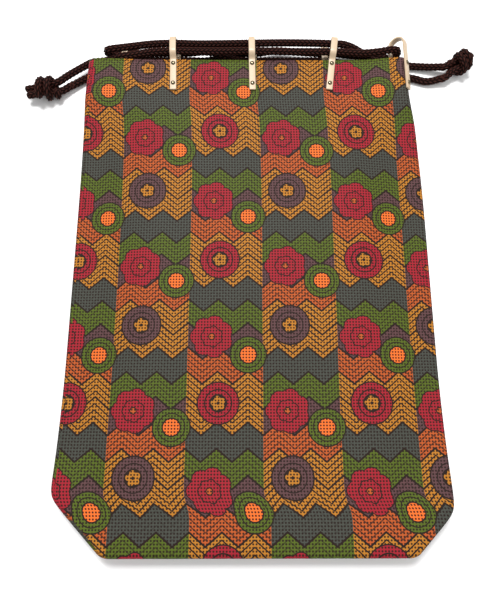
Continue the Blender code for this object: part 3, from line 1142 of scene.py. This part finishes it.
@dataclass
class Rivet:
    """A domed rivet head with its shank and flat cap."""

    head_radius: float = 0.0013
    head_height: float = 0.0009
    cap_radius: float = 0.0013
    cap_height: float = 0.0006
    shank_radius: float = 0.00065
    head_gap: float = 0.00008
    head_rim: float = 0.00012
    steps: int = 28

    def build(self, name: str, outer: float, inner: float, thickness: float, depth: float,
              place: Matrix, finishes: Finishes) -> bpy.types.Object:
        """Turn one rivet about its shank.

        Args:
            name: The CAD node that it stands for.
            outer: Height of the outer leg's middle over the wall.
            inner: Height of the inner leg's middle.
            thickness: The strip's thickness.
            depth: Distance below the mouth edge.
            place: The hoop's axes.
            finishes: The pouch's finishes.

        Returns:
            The rivet.
        """
        seat = outer + thickness / 2 + self.head_gap
        cap = inner - thickness / 2 - self.head_gap
        profile = []
        for i in range(11):
            angle = math.pi / 2 * i / 10
            profile.append((self.head_radius * math.sin(angle),
                            seat + self.head_rim
                            + (self.head_height - self.head_rim) * math.cos(angle)))
        profile += [(self.head_radius, seat), (self.shank_radius, seat), (self.shank_radius, cap),
                    (self.cap_radius, cap), (self.cap_radius, cap - self.cap_height * 0.5),
                    (self.cap_radius * 0.8, cap - self.cap_height), (0.0, cap - self.cap_height)]
        mesh = bmesh.new()
        rings = []
        for radius, height in profile:
            if radius < 1e-9:
                rings.append([mesh.verts.new((0.0, 0.0, height))])
                continue
            ring = []
            for i in range(self.steps):
                angle = 2 * math.pi * i / self.steps
                place_on_ring = radius * math.cos(angle), radius * math.sin(angle), height
                ring.append(mesh.verts.new(place_on_ring))
            rings.append(ring)
        for first, second in zip(rings, rings[1:]):
            for i in range(self.steps):
                j = (i + 1) % self.steps
                corners = (first[i % len(first)], first[j % len(first)],
                           second[j % len(second)], second[i % len(second)])
                mesh.faces.new(list(dict.fromkeys(corners)))
        bmesh.ops.recalc_face_normals(mesh, faces=mesh.faces)
        label = f"domed_{name}"
        data = bpy.data.meshes.new(label)
        mesh.to_mesh(data)
        mesh.free()
        data.shade_smooth()
        data.set_sharp_from_angle(angle=math.radians(50))
        data.transform(place @ Matrix.Translation((0, -depth, 0)))
        piece = link(label, data, finishes.metal)
        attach(piece, "root")
        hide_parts(name)
        return piece


@dataclass
class Hoop:
    """A cream strip bent over the mouth edge, with a riveted leg on each side of the wall."""

    name: str
    x: float
    z: float
    tilt: float
    lean: float
    outer: float
    inner: float
    half: float
    rise: float
    shift: float
    start: float
    mouth_y: float = 0.1355
    width: float = 0.0039
    thickness: float = 0.0012
    leg: float = 0.0220
    spread: float = 0.0040
    round_edge: float = 0.00028
    least_edge: float = 0.00002
    end_inset: float = 0.00022
    end_slide: float = 0.0002
    path_points: int = 150
    smoothing: int = 3
    rivet_depths: tuple[tuple[str, float], ...] = (("upper", 0.0037), ("lower", 0.0177))

    def place(self) -> Matrix:
        """Axes of the hoop: X across the strip, Y to the mouth, Z out of the wall."""
        turn = Matrix.Rotation(math.radians(self.tilt), 4, "Y")
        lean = Matrix.Rotation(math.radians(self.lean), 4, "Z")
        return Matrix.Translation((self.x, self.mouth_y, self.z)) @ turn @ lean

    def path(self) -> np.ndarray:
        """The strip's centre line.

        Returns:
            Points as (outward, up) from the mouth edge, evenly spaced.
        """
        points = [(self.outer, -self.leg), (self.outer, -self.leg / 2), (self.outer, self.start)]
        for i in range(1, 5):
            reach = ease(i / 4)
            points.append((self.outer + (self.shift + self.half - self.outer) * reach,
                           self.start + self.spread * i / 4))
        crown = self.rise - self.half
        for i in range(13):
            angle = math.pi * i / 12
            points.append((self.shift + self.half * math.cos(angle),
                           crown + self.half * math.sin(angle)))
        for i in range(3, -1, -1):
            reach = ease(i / 4)
            points.append((self.inner + (self.shift - self.half - self.inner) * reach,
                           self.start + self.spread * i / 4))
        points += [(self.inner, -self.leg / 2), (self.inner, -self.leg)]
        line = np.array([(0.0, a, b) for a, b in points])
        run = np.concatenate([[0.0], np.cumsum(np.linalg.norm(np.diff(line, axis=0), axis=1))])
        wanted = np.linspace(0.0, run[-1], self.path_points)
        even = np.stack([np.interp(wanted, run, line[:, axis]) for axis in (1, 2)], axis=1)
        for _ in range(self.smoothing):
            even[1:-1] = (even[:-2] + 2 * even[1:-1] + even[2:]) / 4
        return even

    def outline(self, inset: float) -> list[tuple[float, float]]:
        """The strip's cross section with rounded edges, drawn in by inset."""
        half_w, half_t = self.width / 2 - inset, self.thickness / 2 - inset
        rounding = max(self.round_edge - inset, self.least_edge)
        points = []
        for corner in range(4):
            sx = 1 if corner in (0, 3) else -1
            sz = 1 if corner in (0, 1) else -1
            for i in range(4):
                angle = math.pi / 2 * (corner + i / 3)
                points.append((sx * (half_w - rounding) + rounding * math.cos(angle),
                               sz * (half_t - rounding) + rounding * math.sin(angle)))
        return points

    def build(self, finishes: Finishes) -> bpy.types.Object:
        """Bend the strip and set its rivets.

        Args:
            finishes: The pouch's finishes.

        Returns:
            The hoop.
        """
        path = self.path()
        along = np.gradient(path, axis=0)
        along /= np.linalg.norm(along, axis=1)[:, None]
        run = np.concatenate([[0.0], np.cumsum(np.linalg.norm(np.diff(path, axis=0), axis=1))])
        cuts = [(i, 0.0) for i in range(len(path))]
        cuts = [(0, self.end_inset), *cuts, (len(path) - 1, self.end_inset)]
        rows, lay = [], []
        for order, (i, inset) in enumerate(cuts):
            tangent = along[i]
            slide = self.end_slide * ((order == 1) - (order == len(cuts) - 2))
            here = path[i] + tangent * slide
            ring = self.outline(inset)
            rows.append([(across, here[1] - out * tangent[0], here[0] + out * tangent[1])
                         for across, out in ring])
            lay.append([(across * 100, run[i] * 100) for across, _ in ring + ring[:1]])
        label = f"bent_strip_{self.name}"
        data = outward(grid_mesh(label, np.array(rows), np.array(lay), "strip_lay", True, True))
        data.set_sharp_from_angle(angle=math.radians(60))
        place = self.place()
        data.transform(place)
        piece = link(label, data, finishes.strip)
        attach(piece, "root")
        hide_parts(f"hoop_{self.name}")
        rivet = Rivet()
        for level, depth in self.rivet_depths:
            rivet.build(f"rivet_{self.name}_{level}", self.outer, self.inner, self.thickness, depth,
                        place, finishes)
        return piece


@dataclass
class HoopSet:
    """The eight hoops, placed on the body's mouth section."""

    body: PouchBody
    leg: float = 0.00155
    slim_half: float = 0.0037
    slim_rise: float = 0.0143
    slim_start: float = -0.0010
    front_shift: float = 0.00145
    back_shift: float = -0.00135
    left_shift: float = 0.0019
    side_half: float = 0.0053
    side_rise: float = 0.0160
    side_inner: float = -0.00445
    side_start: float = 0.0004
    side_tilt: float = 46.0

    def slim(self, name: str, x: float, z: float, tilt: float, lean: float, shift: float) -> Hoop:
        """A hoop of the front, the back or the left side."""
        return Hoop(name, x, z, tilt, lean, self.leg, -self.leg, self.slim_half, self.slim_rise,
                    shift, self.slim_start)

    def hoops(self) -> list[Hoop]:
        """Every hoop in order round the mouth.

        Returns:
            The hoops.
        """
        _, right, front, back, left_z, right_z, left_r, right_r = self.body.station(
            self.body.mouth_y)
        turn = math.radians(self.side_tilt)
        side_x = right - self.body.wall / 2 - right_r + right_r * math.sin(turn)
        side_z = right_z + right_r * math.cos(turn)
        return [
            self.slim("front_left", -0.0483, front, 0, 1.5, self.front_shift),
            self.slim("front_middle", 0.0004, front, 0, 1, self.front_shift),
            self.slim("front_right", 0.0502, front, 0, -7, self.front_shift),
            self.slim("back_right", 0.0465, back, 180, 0, self.back_shift),
            self.slim("back_middle", 0.0015, back, 180, 0, self.back_shift),
            self.slim("back_left", -0.0465, back, 180, 0, self.back_shift),
            self.slim("side_left", -0.0800, left_z - left_r, 180, 0, self.left_shift),
            Hoop("side_right", side_x, side_z, self.side_tilt, 0, self.leg, self.side_inner,
                 self.side_half, self.side_rise, self.leg - self.side_half, self.side_start),
        ]

    def build(self, finishes: Finishes) -> list[bpy.types.Object]:
        """Bend every hoop."""
        return [hoop.build(finishes) for hoop in self.hoops()]


# --------------------------------------------------------------------- studio


@dataclass
class Studio:
    """Camera, soft lights and a pale floor.

    A lamp is the place where it hangs, its side length and its power.
    """

    place: Point = (-0.002481, -0.089787, 0.299642)
    pitch: float = 76.1344
    yaw: float = 1.2172
    roll: float = 1.1892
    lens: float = 31.966
    sky_strength: float = 0.46
    key: tuple[Point, float, float] = ((-0.10, 0.55, 1.15), 0.42, 19.0)
    fill: tuple[Point, float, float] = ((0.45, -0.30, 1.05), 0.80, 4.0)

    def add_camera(self) -> None:
        """Stand the camera over the pouch."""
        pitch, yaw, roll = (math.radians(a) for a in (self.pitch, self.yaw, self.roll))
        look = Vector((math.sin(yaw) * math.cos(pitch), math.cos(yaw) * math.cos(pitch),
                       -math.sin(pitch)))
        level = Vector((math.cos(yaw), -math.sin(yaw), 0.0))
        up = level.cross(look)
        right = math.cos(roll) * level + math.sin(roll) * up
        top = -math.sin(roll) * level + math.cos(roll) * up
        data = bpy.data.cameras.new("camera")
        data.lens = self.lens
        data.sensor_width = 36.0
        data.clip_start = 0.01
        camera = bpy.data.objects.new("camera", data)
        turn = Matrix((right, top, -look)).transposed().to_4x4()
        camera.matrix_world = Matrix.Translation(self.place) @ turn
        bpy.context.scene.collection.objects.link(camera)
        bpy.context.scene.camera = camera

    def add_light(self, name: str, place: Point, size: float, watts: float) -> None:
        """Hang one square soft light that points at the pouch.

        Args:
            name: The light's name.
            place: Where it hangs.
            size: Its side length.
            watts: Its power.
        """
        data = bpy.data.lights.new(name, "AREA")
        data.size = size
        data.energy = watts
        lamp = bpy.data.objects.new(name, data)
        lamp.location = place
        lamp.rotation_mode = "QUATERNION"
        lamp.rotation_quaternion = (-Vector(place)).to_track_quat("-Z", "Y")
        bpy.context.scene.collection.objects.link(lamp)

    def add_floor(self, finishes: Finishes) -> None:
        """Lay the paper sweep.

        Args:
            finishes: The pouch's finishes.
        """
        mesh = bmesh.new()
        bmesh.ops.create_grid(mesh, x_segments=12, y_segments=12, size=3.0)
        data = bpy.data.meshes.new("floor")
        mesh.to_mesh(data)
        mesh.free()
        floor = link("floor", data, finishes.floor)

    def light(self, finishes: Finishes) -> None:
        """Set the sky, the lights and the floor.

        Args:
            finishes: The pouch's finishes.
        """
        world = bpy.data.worlds.new("studio")
        world.use_nodes = True
        sky = world.node_tree.nodes["Background"].inputs
        sky["Color"].default_value = (1.0, 1.0, 1.0, 1.0)
        sky["Strength"].default_value = self.sky_strength
        bpy.context.scene.world = world
        bpy.context.scene.view_settings.view_transform = "Standard"
        self.add_light("key", *self.key)
        self.add_light("fill", *self.fill)
        self.add_floor(finishes)


# ----------------------------------------------------------------------- main


LEFT_ROUTE = (
    (-0.1156, 0.1272, 0.0076), (-0.1112, 0.1311, 0.0069), (-0.1062, 0.1352, 0.0062),
    (-0.1005, 0.1385, 0.0063), (-0.0940, 0.1386, 0.0072), (-0.0875, 0.1384, 0.0091),
    (-0.0815, 0.1383, 0.0121), (-0.0740, 0.1386, 0.0131), (-0.0620, 0.1402, 0.0138),
    (-0.0480, 0.1410, 0.0139), (-0.0250, 0.1408, 0.0139), (0.0005, 0.1411, 0.0139),
    (0.0240, 0.1406, 0.0139), (0.0500, 0.1406, 0.0139), (0.0600, 0.1400, 0.0140),
    (0.0707, 0.1395, 0.0142), (0.0800, 0.1404, 0.0144), (0.0868, 0.1419, 0.0142),
    (0.0910, 0.1429, 0.0126), (0.0928, 0.1437, 0.0086), (0.0911, 0.1445, 0.0044),
    (0.0870, 0.1451, 0.0026), (0.0780, 0.1457, 0.0026), (0.0660, 0.1462, 0.0034),
    (0.0540, 0.1466, 0.0045), (0.0430, 0.1466, 0.0048), (0.0280, 0.1477, 0.0048),
    (0.0150, 0.1485, 0.0048), (0.0042, 0.1466, 0.0048), (-0.0060, 0.1465, 0.0046),
    (-0.0145, 0.1458, 0.0034), (-0.0225, 0.1438, 0.0028), (-0.0305, 0.1418, 0.0034),
    (-0.0400, 0.1410, 0.0047), (-0.0760, 0.1410, 0.0047), (-0.0845, 0.1401, 0.0040),
    (-0.0900, 0.1382, 0.0028), (-0.0960, 0.1345, 0.0025), (-0.1055, 0.1292, 0.0025),
    (-0.1146, 0.1228, 0.0036),
)
RIGHT_ROUTE = (
    (0.1229, 0.1362, 0.0057), (0.1150, 0.1374, 0.0039), (0.1084, 0.1384, 0.0029),
    (0.1000, 0.1392, 0.0025), (0.0910, 0.1389, 0.0026), (0.0845, 0.1390, 0.0036),
    (0.0785, 0.1400, 0.0058), (0.0725, 0.1420, 0.0085), (0.0665, 0.1442, 0.0111),
    (0.0605, 0.1458, 0.0129), (0.0530, 0.1464, 0.0138), (0.0250, 0.1469, 0.0140),
    (0.0000, 0.1466, 0.0139), (-0.0300, 0.1460, 0.0139), (-0.0490, 0.1464, 0.0139),
    (-0.0620, 0.1456, 0.0141), (-0.0740, 0.1438, 0.0143), (-0.0820, 0.1425, 0.0145),
    (-0.0860, 0.1420, 0.0144), (-0.0894, 0.1424, 0.0129), (-0.0907, 0.1433, 0.0095),
    (-0.0893, 0.1445, 0.0062), (-0.0860, 0.1456, 0.0049), (-0.0800, 0.1462, 0.0048),
    (-0.0650, 0.1465, 0.0048), (-0.0420, 0.1466, 0.0048), (-0.0305, 0.1458, 0.0070),
    (-0.0225, 0.1438, 0.0083), (-0.0145, 0.1418, 0.0070), (-0.0030, 0.1410, 0.0048),
    (0.0470, 0.1410, 0.0048), (0.0530, 0.1406, 0.0045), (0.0585, 0.1394, 0.0036),
    (0.0640, 0.1370, 0.0027), (0.0700, 0.1343, 0.0025), (0.0770, 0.1322, 0.0025),
    (0.0870, 0.1306, 0.0025), (0.1010, 0.1304, 0.0025), (0.1120, 0.1277, 0.0027),
    (0.1228, 0.1291, 0.0046),
)


def knots() -> dict[Side, Knot]:
    """Both knots, with the strands that run through them."""
    left = Knot(
        Side.LEFT, (-0.1284, 0.1187, 0.0071), 10.0,
        wraps=((0.0042, 0.0036, 1.02), (-0.0010, 0.0036, 1.08)),
        core=(
            ((0.0096, 0.0032, 0.0009), (0.0050, 0.0020, 0.0008), (0.0000, 0.0019, 0.0002),
             (-0.0060, 0.0022, -0.0008), (-0.0130, 0.0034, -0.0022)),
            ((0.0096, -0.0012, -0.0026), (0.0050, -0.0021, -0.0010), (0.0000, -0.0023, 0.0002),
             (-0.0060, -0.0024, -0.0004), (-0.0122, -0.0018, -0.0016)),
        ),
    )
    right = Knot(
        Side.RIGHT, (0.1334, 0.1388, 0.0071), 218.0,
        wraps=((0.0030, 0.0030, 0.96), (-0.0016, 0.0030, 0.92)),
        core=(
            ((0.0052, -0.0036, -0.0004), (0.0010, -0.0023, 0.0002), (-0.0030, -0.0022, 0.0004),
             (-0.0060, -0.0034, 0.0002), (-0.0086, -0.0044, -0.0006)),
            ((0.0088, 0.0010, -0.0014), (0.0040, 0.0022, -0.0004), (0.0000, 0.0022, 0.0000),
             (-0.0050, 0.0010, -0.0004), (-0.0104, -0.0002, -0.0014)),
        ),
    )
    return {Side.LEFT: left, Side.RIGHT: right}


def main() -> None:
    """Build the studio, the cords, the pouch and its hoops."""
    logging.basicConfig(level=logging.INFO, format="%(name)s: %(message)s")
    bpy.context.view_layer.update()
    studio = Studio()
    studio.add_camera()
    finishes = Finishes()
    tied = knots()
    for side, route in ((Side.LEFT, LEFT_ROUTE), (Side.RIGHT, RIGHT_ROUTE)):
        cord = Drawcord(side, route, tied[side]).build(finishes)
        LOG.info("%s laid with %d faces", cord.name, len(cord.data.polygons))
    body = PouchBody()
    shell = body.build(finishes)
    LOG.info("%s sewn with %d faces", shell.name, len(shell.data.polygons))
    for hoop in HoopSet(body).build(finishes):
        LOG.info("%s bent with %d faces", hoop.name, len(hoop.data.polygons))
    studio.light(finishes)


if __name__ == "__main__":
    main()
